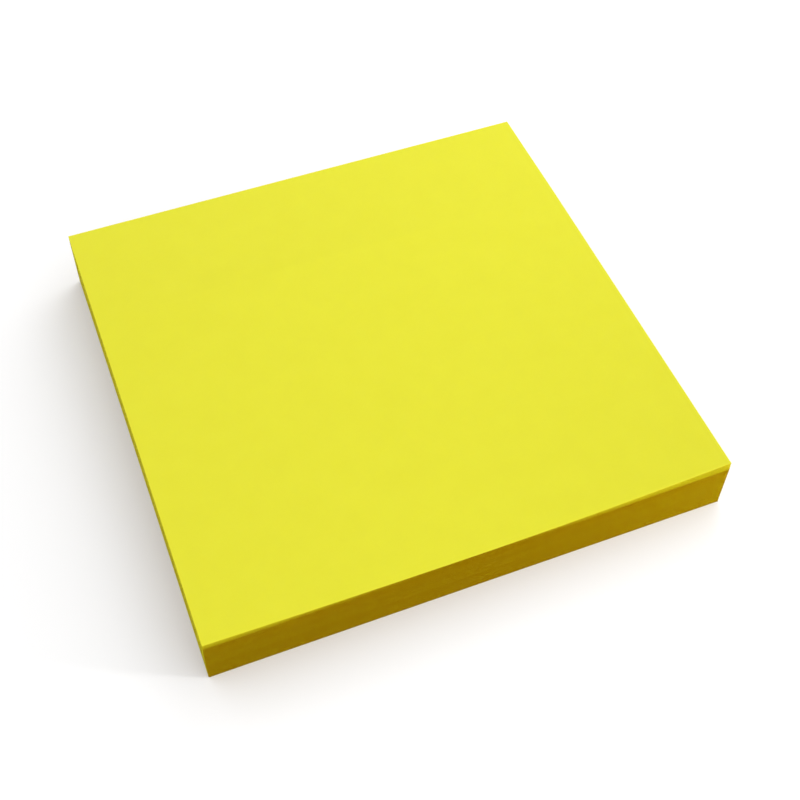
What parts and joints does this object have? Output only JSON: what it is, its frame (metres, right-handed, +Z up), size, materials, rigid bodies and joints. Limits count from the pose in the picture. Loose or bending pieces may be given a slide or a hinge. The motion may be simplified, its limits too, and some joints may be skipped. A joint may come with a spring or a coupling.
{
  "type": "sticky note pad",
  "caption": "Square pad of bright yellow sticky notes, gummed together along the back edge over a plain backing sheet, its free front corners curling up a little.",
  "frame": {"origin": "on the surface that the pad lies on, under the middle of the pad", "axes": "+X along the free front edge, +Y towards the gummed back edge, +Z up out of the top note"},
  "size_m": [0.076, 0.076, 0.0102],
  "materials": {
    "note_paper": "matte, uncoated, dyed bright yellow",
    "backing_paper": "smooth, calendered release paper of a dark honey yellow"
  },
  "bodies": {
    "root": {"note_block": "note_paper", "backing_sheet": "backing_paper"}
  },
  "joints": []
}
